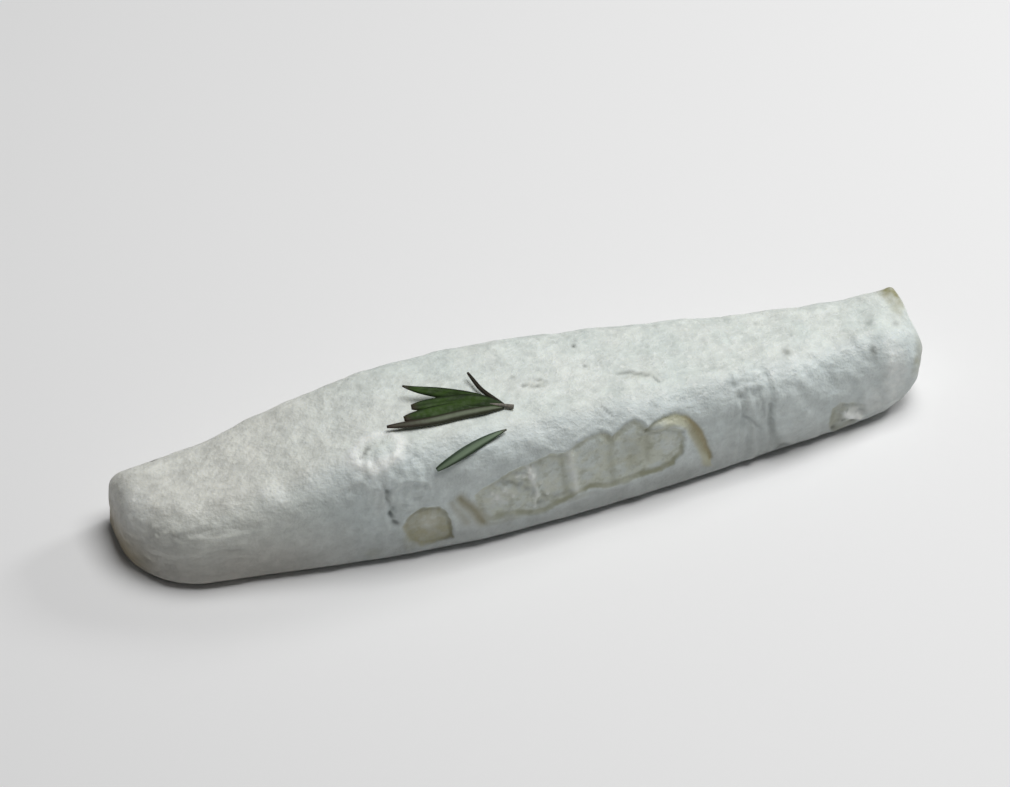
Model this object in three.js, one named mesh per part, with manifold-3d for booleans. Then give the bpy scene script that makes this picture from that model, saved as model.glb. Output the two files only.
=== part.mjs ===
// A long soft goat cheese, thick in the middle and slim at both ends, with rosemary on top.
// Millimetres, +Z up. The cheese lies along X, and its front wall, with the pressed recesses, faces -Y.
// The origin is under the middle of the whole, on the surface that it rests on.

import * as THREE from 'three';
import Module from 'manifold-3d';

const wasm = await Module();
wasm.setup();

const { clamp, degToRad, lerp, smoothstep } = THREE.MathUtils;

// The body: widths and height at the left end, at the thickest place and at the right end.
// peak is the thickest place, from -1 to 1 along the length. bell is how much of the outline is a bell curve.
const LENGTH = 270;
const HALF = LENGTH / 2;
const FRONT = { left: 12.5, middle: 25.5, right: 14.5, peak: -0.12, bell: 0.46 };
const BACK = { left: 26, middle: 28.5, right: 16.5, peak: -0.19, bell: 0.97 };
const HEIGHT = { left: 25, middle: 42.5, right: 32.5, peak: -0.29, bell: 0.97 };

// Rounding radii of the edges. The top's radius turns from front to back over a strip along the middle,
// and at the back it gets smaller towards the right end.
const TOP_ROUND = { front: 11, back: 9, turn: 8, corner: 4, cornerFrom: 0.8 };
const END_ROUND = { frontLeft: 23, frontRight: 14, backLeft: 6, backRight: 3 };
const FOOT_ROUND = { middle: 5.5, left: 3, right: 14 };
const FOOT_CHANGE = 0.8;

// The walls lean in by the draft. The ends lean and turn a little.
const DRAFT = degToRad(3);
const DRAFT_AT = 0.4;
const END_LEAN = { left: degToRad(2), right: degToRad(-2.4) };
const END_TURN = { left: degToRad(-3.5), right: degToRad(7) };

// The body as described above stands this far from the middle of its own box
const OFF_MIDDLE = { x: -0.2, y: 1.6 };

// Grid of the skin: steps along the length, finer beside the recesses, then rows across and up
const RECESS_SPAN = { from: -62, to: 60 };
const STEP = { fine: 2.4, coarse: 5.4 };
const ROWS = { across: 10, up: 14 };
const SPINE_INSET = 22;
const REACH = 1.6;
const HALVINGS = 26;
const PROBE = 0.3;
const FLAT = 0.02;

// Smooth blocks pressed into the front wall: middle along X and Z, half width and half height
const RECESSES = [
  { x: 37.5, z: 21.5, wide: 7, high: 9.5, lean: 0 },
  { x: 25, z: 22.8, wide: 5.4, high: 10.5, lean: 0 },
  { x: 12.8, z: 22.5, wide: 5.4, high: 10.5, lean: 0 },
  { x: -1.6, z: 22.8, wide: 5.4, high: 7.8, lean: 4 },
  { x: -17.5, z: 18.8, wide: 9.2, high: 7.8, lean: 8 },
  { x: -43.8, z: 12.6, wide: 7.8, high: 7.4, lean: 12 },
];
const RECESS = { depth: 1.0, soft: 0.9, square: 3.2 };

// Grooves in the front wall, each along points of X and Z
const GROOVES = [
  { path: [[37, 33], [43, 31.5], [47.5, 27.5], [50.5, 20], [54, 10.5]], wide: 2.1, depth: 1.4 },
  { path: [[-32.5, 23], [-28.5, 17], [-25, 10.5]], wide: 2.2, depth: 1.1 },
  { path: [[-55.5, 33], [-55.5, 26], [-54.5, 18]], wide: 1.6, depth: 1.0 },
  { path: [[64.5, 31], [66.5, 23], [71.5, 16]], wide: 1.6, depth: 0.9 },
];

// The fold in the right half: past it the wall stands out, and its foot is drawn in
const FOLD = {
  x: 76, soft: 1.6, out: 1.2, fade: 22,
  foot: { x: 81, deep: 3.4, high: 10, wide: 7 },
};

// The torn patch low at the right, and the raised rim on the front before the right end
const TEAR = { x: 103.8, z: 7.6, wide: 6.5, high: 3.8, depth: 1.4, edge: [0.6, 1.1] };
const RIM = { x: 120.8, lean: 0.1, wide: 2.6, out: 0.8 };

// How squarely the skin faces the front where front marks start, and where they are whole
const FACES_FRONT = [0.35, 0.8];
const TURNS_TO_FRONT = [-0.2, 0.4];
const TURNED_UNDER = [-0.95, -0.5];

// Round swellings and hollows of the skin: place, radius and height
const SWELLINGS = [
  { at: [-91, -13, 31], radius: 7, high: 0.9 },
  { at: [-57, -14, 40], radius: 9, high: 0.6 },
  { at: [98, -14, 26], radius: 14, high: 0.6 },
  { at: [131, -10, 21], radius: 9, high: 1.4 },
  { at: [134, -1, 31], radius: 9, high: -2 },
  { at: [128, 16, 33], radius: 9, high: -0.6 },
  { at: [20, 6, 41], radius: 15, high: 0.5 },
];

// Slow unevenness of the whole skin: wave lengths, the height of each wave, and how much longer it is crosswise
const UNEVEN = { waves: [47, 33, 24, 17], high: 0.2, turn: 2.4, crosswise: 0.7 };

// A leaf's section and shape. A taper's power is smaller where an end is blunter: foot is the one for the foot,
// and each leaf has its own for the tip. fullest is below 1 because the widest place is nearer the foot.
const CLEAR = 0.4;
const LEAF = {
  thick: 0.8, thinEnd: 0.35, edge: 0.3, groove: { deep: 0.22, wide: 0.3 }, rolled: 0.25,
  wave: { high: 0.15, turns: 9 }, taper: { from: 0.06, over: 0.92, foot: 0.55, fullest: 0.85 },
  leastHalf: 0.25, steps: 12, across: 4,
};

// Rosemary: leaves along points of X, Y and the lift over the skin, with half width, roll in degrees
// and the power of the tip
const THIN_LEAF = {
  path: [[-12.4, -9.4, 0.6], [-15.6, -4.4, 1.0], [-17.6, 0.2, 1.2], [-18.6, 4.2, 1.4], [-19.2, 7.2, 1.6]],
  wide: 0.75,
  roll: -8,
  tip: 0.3,
};
const UPPER_LEAF = {
  path: [[-13.6, -9, 0.7], [-21.8, -4.4, 1.9], [-30.4, 0.5, 2.2], [-37.4, 3.5, 3], [-41.4, 5.6, 4]],
  wide: 2,
  roll: -24,
  tip: 0.75,
};
const MIDDLE_LEAF = {
  path: [[-13.8, -9.1, 0.7], [-22.8, -5.9, 1.9], [-31.8, -4, 2], [-41.2, -2.7, 2.2]],
  wide: 2.5,
  roll: -28,
  tip: 0.42,
};
const LOW_LEAF = {
  path: [[-14.2, -9, 0.5], [-24.8, -7, 1.2], [-34.5, -6.4, 1.3], [-44.6, -6, 1.4]],
  wide: 2.5,
  roll: -22,
  tip: 0.42,
};
const LONG_LEAF = {
  path: [[-12.8, -9.6, 0.3], [-25.6, -9.2, 0.7], [-38.8, -8.8, 0.7], [-50.5, -6.9, 1.1]],
  wide: 1.65,
  roll: -16,
  tip: 0.5,
};
const SPRIG_LEAVES = [THIN_LEAF, UPPER_LEAF, MIDDLE_LEAF, LOW_LEAF, LONG_LEAF];
const LOOSE_LEAF = {
  path: [[-39.7, -22.5, 0], [-32.3, -21.4, 0.1], [-22.5, -19.4, 0.1], [-15, -18, 0.1]],
  wide: 1.65,
  roll: 0,
  tip: 0.75,
};
const STEM = {
  path: [[-9.8, -10.6, 0.1], [-13.5, -9.2, 0.5], [-17, -8, 0.9]],
  radius: 0.75,
  tip: 0.5,
  steps: 6,
  sides: 10,
};

// Rounded crossing of two half spaces, each given by its signed distance
function roundedMax(a, b, radius) {
  const outer = Math.hypot(Math.max(a + radius, 0), Math.max(b + radius, 0));
  return Math.min(-radius, Math.max(a, b)) + outer;
}

// A width or height at place u, from -1 at the left end to 1 at the right end
function sizeAt(size, u) {
  const left = u < size.peak;
  const way = (u - size.peak) / (left ? 1 + size.peak : 1 - size.peak);
  const t = clamp(Math.abs(way), 0, 1.3);
  const arch = (1 - size.bell) * (1 - t * t) + size.bell * 0.5 * (1 + Math.cos(Math.PI * Math.min(t, 1)));
  const end = left ? size.left : size.right;
  return end + (size.middle - end) * arch;
}

// Signed distance to the smooth body, below zero inside it
function body(x, y, z) {
  const u = x / HALF;
  const height = sizeAt(HEIGHT, u);
  const drawnIn = Math.tan(DRAFT) * (z - height * DRAFT_AT);
  const front = -y - sizeAt(FRONT, u) + drawnIn;
  const back = y - sizeAt(BACK, u) + drawnIn;
  const upper = z - height / 2;
  const left = -x - HALF + Math.tan(END_LEAN.left) * upper + Math.tan(END_TURN.left) * y;
  const right = x - HALF + Math.tan(END_LEAN.right) * upper + Math.tan(END_TURN.right) * y;
  const walls = Math.max(
    roundedMax(front, left, END_ROUND.frontLeft),
    roundedMax(front, right, END_ROUND.frontRight),
    roundedMax(back, left, END_ROUND.backLeft),
    roundedMax(back, right, END_ROUND.backRight),
  );
  const behind = lerp(TOP_ROUND.back, TOP_ROUND.corner, smoothstep(u, TOP_ROUND.cornerFrom, 1));
  const topRound = lerp(TOP_ROUND.front, behind, smoothstep(y, -TOP_ROUND.turn, TOP_ROUND.turn));
  const topped = roundedMax(walls, z - height, topRound);
  const toEnd = clamp((Math.abs(u) - FOOT_CHANGE) / (1 - FOOT_CHANGE), 0, 1);
  const foot = lerp(FOOT_ROUND.middle, u < 0 ? FOOT_ROUND.left : FOOT_ROUND.right, toEnd);
  return roundedMax(topped, -z, foot);
}

// Direction straight out of the body
function outward(p) {
  const n = new THREE.Vector3(
    body(p.x + PROBE, p.y, p.z) - body(p.x - PROBE, p.y, p.z),
    body(p.x, p.y + PROBE, p.z) - body(p.x, p.y - PROBE, p.z),
    body(p.x, p.y, p.z + PROBE) - body(p.x, p.y, p.z - PROBE),
  );
  return n.normalize();
}

// Height of a place over the foot of the body, where the skin is met on the way down
function topAt(x, y) {
  let low = sizeAt(HEIGHT, x / HALF) / 2;
  let high = HEIGHT.middle + 1;
  for (let i = 0; i < HALVINGS; i++) {
    const z = (low + high) / 2;
    if (body(x, y, z) < 0) low = z;
    else high = z;
  }
  return low;
}

function bump(distance, width) {
  return Math.exp(-((distance / width) ** 2));
}

function distanceToPath(x, z, path) {
  let nearest = Infinity;
  for (let i = 1; i < path.length; i++) {
    const [ax, az] = path[i - 1];
    const [bx, bz] = path[i];
    const along = ((x - ax) * (bx - ax) + (z - az) * (bz - az)) / ((bx - ax) ** 2 + (bz - az) ** 2);
    const t = clamp(along, 0, 1);
    nearest = Math.min(nearest, Math.hypot(x - ax - t * (bx - ax), z - az - t * (bz - az)));
  }
  return nearest;
}

// How far into a recess a place on the front wall lies, from 0 outside to 1 on its floor
function recessed(x, z) {
  let most = 0;
  for (const { x: cx, z: cz, wide, high, lean } of RECESSES) {
    const c = Math.cos(degToRad(lean));
    const s = Math.sin(degToRad(lean));
    const dx = Math.abs((x - cx) * c + (z - cz) * s) / wide;
    const dz = Math.abs((z - cz) * c - (x - cx) * s) / high;
    const r = (dx ** RECESS.square + dz ** RECESS.square) ** (1 / RECESS.square);
    const soft = RECESS.soft / Math.min(wide, high);
    most = Math.max(most, 1 - smoothstep(r, 1 - soft, 1 + soft));
  }
  return most;
}

function frontMarks(x, z) {
  let out = -RECESS.depth * recessed(x, z);
  for (const { path, wide, depth } of GROOVES) {
    out -= depth * bump(distanceToPath(x, z, path), wide);
  }
  out += FOLD.out * smoothstep(x, FOLD.x - FOLD.soft, FOLD.x + FOLD.soft) * bump(x - FOLD.x, FOLD.fade);
  out -= FOLD.foot.deep * bump(x - FOLD.foot.x, FOLD.foot.wide) * (1 - smoothstep(z, 0, FOLD.foot.high));
  const torn = Math.hypot((x - TEAR.x) / TEAR.wide, (z - TEAR.z) / TEAR.high);
  out -= TEAR.depth * (1 - smoothstep(torn, ...TEAR.edge));
  return out;
}

function unevenness(p) {
  let out = 0;
  UNEVEN.waves.forEach((wave, i) => {
    const a = i * UNEVEN.turn;
    const along = p.x * Math.cos(a) + p.y * Math.sin(a) + p.z * Math.sin(a + 1);
    const across = p.y * Math.cos(a) - p.x * Math.sin(a) + p.z * Math.cos(a + 1);
    const turns = (2 * Math.PI) / wave;
    out += UNEVEN.high * Math.sin(along * turns + i) * Math.cos(across * turns * UNEVEN.crosswise + 2 * i);
  });
  return out;
}

// How far the skin stands out from the smooth body at p, whose outward direction is n
function relief(p, n) {
  let out = unevenness(p) + smoothstep(-n.y, ...FACES_FRONT) * frontMarks(p.x, p.z);
  const rim = bump(p.x - RIM.x - RIM.lean * p.y, RIM.wide);
  out += RIM.out * rim * smoothstep(-n.y, ...TURNS_TO_FRONT);
  for (const { at, radius, high } of SWELLINGS) {
    out += high * bump(p.distanceTo(new THREE.Vector3(...at)), radius);
  }
  const aboveFoot = smoothstep(p.z, 0, FOOT_ROUND.middle) * smoothstep(n.z, ...TURNED_UNDER);
  return out * aboveFoot;
}

// Grid lines from one place to another in even steps of about the given size
function lines(from, to, step) {
  const count = Math.round((to - from) / step);
  return Array.from({ length: count }, (_, i) => from + ((to - from) * i) / count);
}

// The skin: the points of a box's faces, drawn onto the body from a spine inside it
function cheese() {
  const along = [
    ...lines(-HALF, RECESS_SPAN.from, STEP.coarse),
    ...lines(RECESS_SPAN.from, RECESS_SPAN.to, STEP.fine),
    ...lines(RECESS_SPAN.to, HALF, STEP.coarse),
    HALF,
  ];
  const across = [...lines(-1, 1, 2 / ROWS.across), 1];
  const up = [...lines(-1, 1, 2 / ROWS.up), 1];
  const grid = [along, across, up];
  const last = grid.map((line) => line.length - 1);
  const numbers = new Map();
  const points = [];
  const faces = [];

  function skinPoint(i, j, k) {
    const x = along[i];
    const spineX = clamp(x, -HALF + SPINE_INSET, HALF - SPINE_INSET);
    const u = spineX / HALF;
    const front = sizeAt(FRONT, u);
    const back = sizeAt(BACK, u);
    const height = sizeAt(HEIGHT, u);
    const spine = new THREE.Vector3(spineX, (back - front) / 2, height / 2);
    const reach = new THREE.Vector3(x - spineX, (across[j] * (front + back)) / 2, (up[k] * height) / 2);
    let inside = 0;
    let outside = REACH;
    for (let n = 0; n < HALVINGS; n++) {
      const t = (inside + outside) / 2;
      const q = spine.clone().addScaledVector(reach, t);
      if (body(q.x, q.y, q.z) < 0) inside = t;
      else outside = t;
    }
    const p = spine.addScaledVector(reach, inside);
    const n = outward(p);
    p.addScaledVector(n, relief(p, n));
    if (p.z < FLAT) p.z = 0;
    return p;
  }

  function corner(i, j, k) {
    const key = `${i} ${j} ${k}`;
    if (!numbers.has(key)) {
      numbers.set(key, points.length / 3);
      points.push(...skinPoint(i, j, k).toArray());
    }
    return numbers.get(key);
  }

  // The two faces of the box that lie across one of its three directions
  function sides(axis) {
    const [a, b] = [(axis + 1) % 3, (axis + 2) % 3];
    for (const end of [0, last[axis]]) {
      for (let m = 0; m < last[a]; m++) {
        for (let n = 0; n < last[b]; n++) {
          const quad = [[0, 0], [1, 0], [1, 1], [0, 1]].map(([dm, dn]) => {
            const place = [];
            place[axis] = end;
            place[a] = m + dm;
            place[b] = n + dn;
            return corner(...place);
          });
          if (end === 0) quad.reverse();
          faces.push(quad[0], quad[1], quad[2], quad[0], quad[2], quad[3]);
        }
      }
    }
  }

  [0, 1, 2].forEach(sides);
  return geometryOf(points, faces);
}

function geometryOf(points, faces) {
  const geometry = new THREE.BufferGeometry();
  geometry.setAttribute('position', new THREE.Float32BufferAttribute(points, 3));
  geometry.setIndex(Array.from(faces));
  geometry.computeVertexNormals();
  return geometry;
}

// A closed tube of rings, each ring a list of points, with a flat fan at both ends
function ringsGeometry(rings) {
  const sides = rings[0].length;
  const points = rings.flat().flatMap((p) => p.toArray());
  const faces = [];
  for (let r = 1; r < rings.length; r++) {
    for (let s = 0; s < sides; s++) {
      const a = (r - 1) * sides + s;
      const b = (r - 1) * sides + ((s + 1) % sides);
      faces.push(a, b, b + sides, a, b + sides, a + sides);
    }
  }
  const end = (rings.length - 1) * sides;
  for (let s = 1; s < sides - 1; s++) {
    faces.push(0, s + 1, s, end, end + s, end + s + 1);
  }
  return geometryOf(points, faces);
}

// Points along a path over the skin, each with its way along, its way across and its way up
function frames(path, steps, rest) {
  const onSkin = path.map(([x, y, lift]) => {
    const p = new THREE.Vector3(x, y, topAt(x, y));
    return p.addScaledVector(outward(p), CLEAR + rest + lift);
  });
  const curve = new THREE.CatmullRomCurve3(onSkin, false, 'centripetal');
  return Array.from({ length: steps + 1 }, (_, i) => {
    const t = i / steps;
    const at = curve.getPointAt(t);
    const ahead = curve.getTangentAt(t);
    const skinBelow = new THREE.Vector3(at.x, at.y, topAt(at.x, at.y));
    const across = new THREE.Vector3().crossVectors(outward(skinBelow), ahead).normalize();
    const up = new THREE.Vector3().crossVectors(ahead, across);
    return { t, at, ahead, across, up };
  });
}

// A needle leaf: a thin wavy solid with rolled edges and a groove along the middle of its upper face
function leaf({ path, wide, roll, tip }) {
  const { thick, thinEnd, edge, groove, rolled, wave, taper, leastHalf } = LEAF;
  const rings = frames(path, LEAF.steps, thick / 2 + rolled).map(({ t, at, ahead, across, up }) => {
    const way = taper.from + taper.over * t ** taper.fullest;
    const size = Math.sin(Math.PI * way) ** lerp(taper.foot, tip, t);
    const side = across.clone().applyAxisAngle(ahead, degToRad(roll));
    const over = up.clone().applyAxisAngle(ahead, degToRad(roll));
    const centre = at.clone().addScaledVector(over, wave.high * Math.sin(wave.turns * t));
    const half = Math.max(wide * size, leastHalf);
    const middle = thick * lerp(thinEnd, 1, size) - edge;
    const place = (v, height) => centre.clone().addScaledVector(side, v * half).addScaledVector(over, height);
    const columns = Array.from({ length: LEAF.across + 1 }, (_, i) => -1 + (2 * i) / LEAF.across);
    const full = (v) => (edge + middle * (1 - v * v)) / 2;
    const drop = (v) => rolled * size * v * v;
    const dip = (v) => groove.deep * size * bump(v, groove.wide);
    const upper = columns.map((v) => place(v, full(v) - drop(v) - dip(v)));
    const lower = columns.map((v) => place(v, dip(v) - full(v) - drop(v)));
    return [...lower, ...upper.reverse()];
  });
  return ringsGeometry(rings);
}

// The woody foot of the sprig, which the leaves leave close together
function stem({ path, radius, tip, steps, sides }) {
  const rings = frames(path, steps, radius).map(({ t, at, across, up }) => {
    const size = radius + (tip - radius) * t;
    return Array.from({ length: sides }, (_, i) => {
      const a = (2 * Math.PI * i) / sides;
      return at.clone().addScaledVector(across, size * Math.cos(a)).addScaledVector(up, size * Math.sin(a));
    });
  });
  return ringsGeometry(rings);
}

function toSolid(geometry) {
  return new wasm.Manifold(new wasm.Mesh({
    numProp: 3,
    vertProperties: new Float32Array(geometry.attributes.position.array),
    triVerts: new Uint32Array(geometry.index.array),
  }));
}

function joined(geometries) {
  const whole = geometries.map(toSolid).reduce((sum, solid) => sum.add(solid));
  const mesh = whole.getMesh();
  return geometryOf(mesh.vertProperties, mesh.triVerts);
}

const finishes = {
  curd: new THREE.MeshStandardMaterial({ color: 0xdfe2dc, roughness: 0.75, metalness: 0 }),
  rosemary: new THREE.MeshStandardMaterial({ color: 0x3d5030, roughness: 0.6, metalness: 0 }),
};

function piece(name, geometry, finish) {
  const mesh = new THREE.Mesh(geometry, finish);
  mesh.name = name;
  return mesh;
}

const goatCheese = new THREE.Group();
goatCheese.add(
  piece('cheese', cheese(), finishes.curd),
  piece('rosemary_sprig', joined([stem(STEM), ...SPRIG_LEAVES.map(leaf)]), finishes.rosemary),
  piece('rosemary_needle', leaf(LOOSE_LEAF), finishes.rosemary),
);
goatCheese.position.set(-OFF_MIDDLE.x, -OFF_MIDDLE.y, 0);

export default goatCheese;
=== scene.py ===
"""A long soft goat cheese with rosemary on top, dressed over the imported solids.

Sizes are millimetres in the cheese's own frame until a mesh is made, which is in metres.
"""

import itertools
import math

import bpy
import numpy as np
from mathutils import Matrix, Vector


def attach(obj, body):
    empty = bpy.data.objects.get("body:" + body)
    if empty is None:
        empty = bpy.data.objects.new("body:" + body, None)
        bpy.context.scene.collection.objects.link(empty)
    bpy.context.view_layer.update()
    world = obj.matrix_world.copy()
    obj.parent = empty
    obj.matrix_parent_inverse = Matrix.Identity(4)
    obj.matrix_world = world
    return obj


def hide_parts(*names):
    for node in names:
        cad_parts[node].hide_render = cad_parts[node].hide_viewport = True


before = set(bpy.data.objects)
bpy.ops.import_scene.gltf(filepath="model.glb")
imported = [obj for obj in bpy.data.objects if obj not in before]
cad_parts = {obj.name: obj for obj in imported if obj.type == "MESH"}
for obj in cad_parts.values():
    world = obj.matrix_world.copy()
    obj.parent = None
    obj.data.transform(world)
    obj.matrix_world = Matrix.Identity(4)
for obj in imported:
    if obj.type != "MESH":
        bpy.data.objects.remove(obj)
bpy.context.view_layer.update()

MM = 0.001

# The cheese's frame stands this far from the part's own
SHIFT = np.array([0.2, -1.6, 0.0])

# The body, as the solids have it: left end, thickest place, right end, where that is and how bell-shaped
HALF = 135
FRONT = dict(left=12.5, middle=25.5, right=14.5, peak=-0.12, bell=0.46)
BACK = dict(left=26, middle=28.5, right=16.5, peak=-0.19, bell=0.97)
HEIGHT = dict(left=25, middle=42.5, right=32.5, peak=-0.29, bell=0.97)
TOP_ROUND = dict(front=11, back=9, turn=8, corner=4, corner_from=0.8)
END_ROUND = dict(front_left=23, front_right=14, back_left=6, back_right=3)
FOOT_ROUND = dict(middle=5.5, left=3, right=14)
FOOT_CHANGE = 0.8
DRAFT = math.radians(3)
DRAFT_AT = 0.4
END_LEAN = dict(left=math.radians(2), right=math.radians(-2.4))
END_TURN = dict(left=math.radians(-3.5), right=math.radians(7))

# The skin's grid: cells along, across and up, and how far apart they are along X, closest at the marks
CELLS = (410, 40, 70)
SPACING = [
    (-135, 1.1), (-66, 1.1), (-60, 0.48), (58, 0.48), (64, 0.72), (112, 0.72), (118, 1.0), (135, 1.0),
]

# The spine that the skin is drawn from stays this far from the ends, and how the search runs from it
SPINE_INSET = 22
REACH = 1.6
HALVINGS = 24
PROBE = 0.3

# The photograph's view: the camera looks down on the front wall, from the left of it
VIEW = dict(azimuth=-19.8, elevation=45.0, distance=1100.0)
LOOK_AT = np.array([0.0, 0.0, 20.0])
PHOTO = dict(width=1010, height=787, look_at=(531.5, 428.6), pixels_per_mm=3.086)
SENSOR_MM = 36.0


def ramp(value, low, high):
    """Smooth step from 0 at low to 1 at high."""
    t = np.clip((value - low) / (high - low), 0, 1)
    return t * t * (3 - 2 * t)


def bump(distance, width):
    """Bell curve: 1 at no distance, falling to 0 past the width."""
    return np.exp(-((distance / width) ** 2))


def rounded_max(a, b, radius):
    """Rounded crossing of two half spaces, each given by its signed distance."""
    outer = np.hypot(np.maximum(a + radius, 0), np.maximum(b + radius, 0))
    return np.minimum(-radius, np.maximum(a, b)) + outer


def size_at(size, u):
    """A width or height at place u, from -1 at the left end to 1 at the right end."""
    left = u < size["peak"]
    way = (u - size["peak"]) / np.where(left, 1 + size["peak"], 1 - size["peak"])
    t = np.clip(np.abs(way), 0, 1.3)
    bell = size["bell"]
    arch = (1 - bell) * (1 - t * t) + bell * 0.5 * (1 + np.cos(np.pi * np.minimum(t, 1)))
    end = np.where(left, size["left"], size["right"])
    return end + (size["middle"] - end) * arch


def body(p):
    """Signed distance of points to the smooth body, below zero inside it."""
    x, y, z = p.T
    u = x / HALF
    height = size_at(HEIGHT, u)
    drawn_in = math.tan(DRAFT) * (z - height * DRAFT_AT)
    front = -y - size_at(FRONT, u) + drawn_in
    back = y - size_at(BACK, u) + drawn_in
    upper = z - height / 2
    left = -x - HALF + math.tan(END_LEAN["left"]) * upper + math.tan(END_TURN["left"]) * y
    right = x - HALF + math.tan(END_LEAN["right"]) * upper + math.tan(END_TURN["right"]) * y
    walls = np.maximum.reduce([
        rounded_max(front, left, END_ROUND["front_left"]),
        rounded_max(front, right, END_ROUND["front_right"]),
        rounded_max(back, left, END_ROUND["back_left"]),
        rounded_max(back, right, END_ROUND["back_right"]),
    ])
    to_back = ramp(y, -TOP_ROUND["turn"], TOP_ROUND["turn"])
    at_corner = ramp(u, TOP_ROUND["corner_from"], 1)
    behind = TOP_ROUND["back"] + (TOP_ROUND["corner"] - TOP_ROUND["back"]) * at_corner
    topped = rounded_max(walls, z - height, TOP_ROUND["front"] + (behind - TOP_ROUND["front"]) * to_back)
    to_left = np.clip((-u - FOOT_CHANGE) / (1 - FOOT_CHANGE), 0, 1)
    to_right = np.clip((u - FOOT_CHANGE) / (1 - FOOT_CHANGE), 0, 1)
    foot = FOOT_ROUND["middle"] + (FOOT_ROUND["left"] - FOOT_ROUND["middle"]) * to_left
    foot = foot + (FOOT_ROUND["right"] - FOOT_ROUND["middle"]) * to_right
    return rounded_max(topped, -z, foot)


def unit(vectors):
    return vectors / np.maximum(np.linalg.norm(vectors, axis=-1, keepdims=True), 1e-9)


def outward(p):
    """Directions straight out of the body."""
    steps = np.eye(3) * PROBE
    return unit(np.stack([body(p + step) - body(p - step) for step in steps], axis=1))


def top_at(x, y):
    """Height of the skin over places on the floor."""
    x, y = np.asarray(x, float), np.asarray(y, float)
    low = size_at(HEIGHT, x / HALF) / 2
    high = np.full_like(low, HEIGHT["middle"] + 1)
    for _ in range(HALVINGS):
        z = (low + high) / 2
        inside = body(np.stack([x, y, z], axis=1)) < 0
        low = np.where(inside, z, low)
        high = np.where(inside, high, z)
    return low


def box_grid(cells):
    """Points of a box's faces from -1 to 1, with its quads facing out."""
    numbers, points, quads = {}, [], []

    def corner(place):
        if place not in numbers:
            numbers[place] = len(points)
            points.append([2 * n / count - 1 for n, count in zip(place, cells)])
        return numbers[place]

    for axis in range(3):
        a, b = (axis + 1) % 3, (axis + 2) % 3
        for end, m, n in itertools.product((0, cells[axis]), range(cells[a]), range(cells[b])):
            quad = []
            for dm, dn in ((0, 0), (1, 0), (1, 1), (0, 1)):
                place = [0, 0, 0]
                place[axis], place[a], place[b] = end, m + dm, n + dn
                quad.append(corner(tuple(place)))
            quads.append(quad if end else quad[::-1])
    return np.array(points), np.array(quads)


def spread_along(way):
    """Places along X for ways from -1 to 1, as far apart as SPACING says."""
    fine = np.linspace(-HALF, HALF, 2001)
    steps = np.cumsum(1 / np.interp(fine, *zip(*SPACING)))
    steps = 2 * (steps - steps[0]) / (steps[-1] - steps[0]) - 1
    return np.interp(way, steps, fine)


def skin(cells):
    """The smooth body's surface: box points drawn onto it from a spine inside."""
    box, quads = box_grid(cells)
    x = spread_along(box[:, 0])
    spine_x = np.clip(x, -HALF + SPINE_INSET, HALF - SPINE_INSET)
    u = spine_x / HALF
    front, back, height = size_at(FRONT, u), size_at(BACK, u), size_at(HEIGHT, u)
    spine = np.stack([spine_x, (back - front) / 2, height / 2], axis=1)
    reach = np.stack([x - spine_x, box[:, 1] * (front + back) / 2, box[:, 2] * height / 2], axis=1)
    inside, outside = np.zeros(len(box)), np.full(len(box), REACH)
    for _ in range(HALVINGS):
        t = (inside + outside) / 2
        within = body(spine + reach * t[:, None]) < 0
        inside = np.where(within, t, inside)
        outside = np.where(within, outside, t)
    return spine + reach * inside[:, None], quads


# Randomness: a lattice of directions for smooth noise in space
LATTICE = 4096
SEED_SHIFT = 7.31
NOISE_GAIN = 1.6
random_source = np.random.default_rng(11)
SHUFFLE = random_source.permutation(LATTICE)
DIRECTIONS = unit(random_source.normal(size=(LATTICE, 3)))


def noise(points, size, seed=0):
    """Smooth heights of about -1 to 1 over points, with lumps of about the given size."""
    q = points / size + seed * SEED_SHIFT
    cell = np.floor(q).astype(int)
    part = q - cell
    ease = part**3 * (part * (part * 6 - 15) + 10)
    total = np.zeros(len(points))
    for step in itertools.product((0, 1), repeat=3):
        lattice = cell + np.array(step)
        key = SHUFFLE[lattice[:, 0] % LATTICE]
        key = SHUFFLE[(key + lattice[:, 1]) % LATTICE]
        key = SHUFFLE[(key + lattice[:, 2]) % LATTICE]
        slope = np.einsum("ij,ij->i", DIRECTIONS[key], part - np.array(step))
        weight = np.prod(np.where(np.array(step) == 1, ease, 1 - ease), axis=1)
        total += slope * weight
    return total * NOISE_GAIN


# The long imprint of the front wall and the cell beside it: outlines at places along X and Z
STRIP_OUTLINE = [
    (-28, 22.8), (-23.9, 25.4), (-19.5, 27), (-16.2, 29), (-9.4, 30.6), (-2.5, 32), (2.9, 31.5), (7.1, 33),
    (11.5, 34), (15.2, 34.1), (17.7, 32.8), (19.1, 31.5), (22.7, 33.6), (27.1, 34.4), (29.4, 32.8),
    (30.8, 30.7),
    (34, 29.6), (38.6, 29.4), (42.6, 26.6), (44.5, 21.4), (43.6, 16.6), (40.8, 13.2), (36.4, 12.1),
    (30.4, 12.3), (25, 11.4), (18.6, 11.4), (10.9, 13.2), (6.5, 12.8), (1.5, 10.4), (-4.8, 8.1),
    (-9.7, 8.6),
    (-16, 10.8), (-23.4, 10.8), (-26, 15),
]
CELL_OUTLINE = [
    (-51.7, 15.2), (-48.6, 19.6), (-44.5, 21.7), (-39.4, 20.8), (-36.8, 17), (-35.8, 11.6), (-35.6, 6.7),
    (-40.3, 5.6), (-45.1, 5.4), (-49.2, 8.1),
]
IMPRINT = dict(depth=0.6, soft=1.1, lip=0.25, lip_at=1.3, lip_wide=0.9, groove=0.12, groove_wide=1.2)

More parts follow.
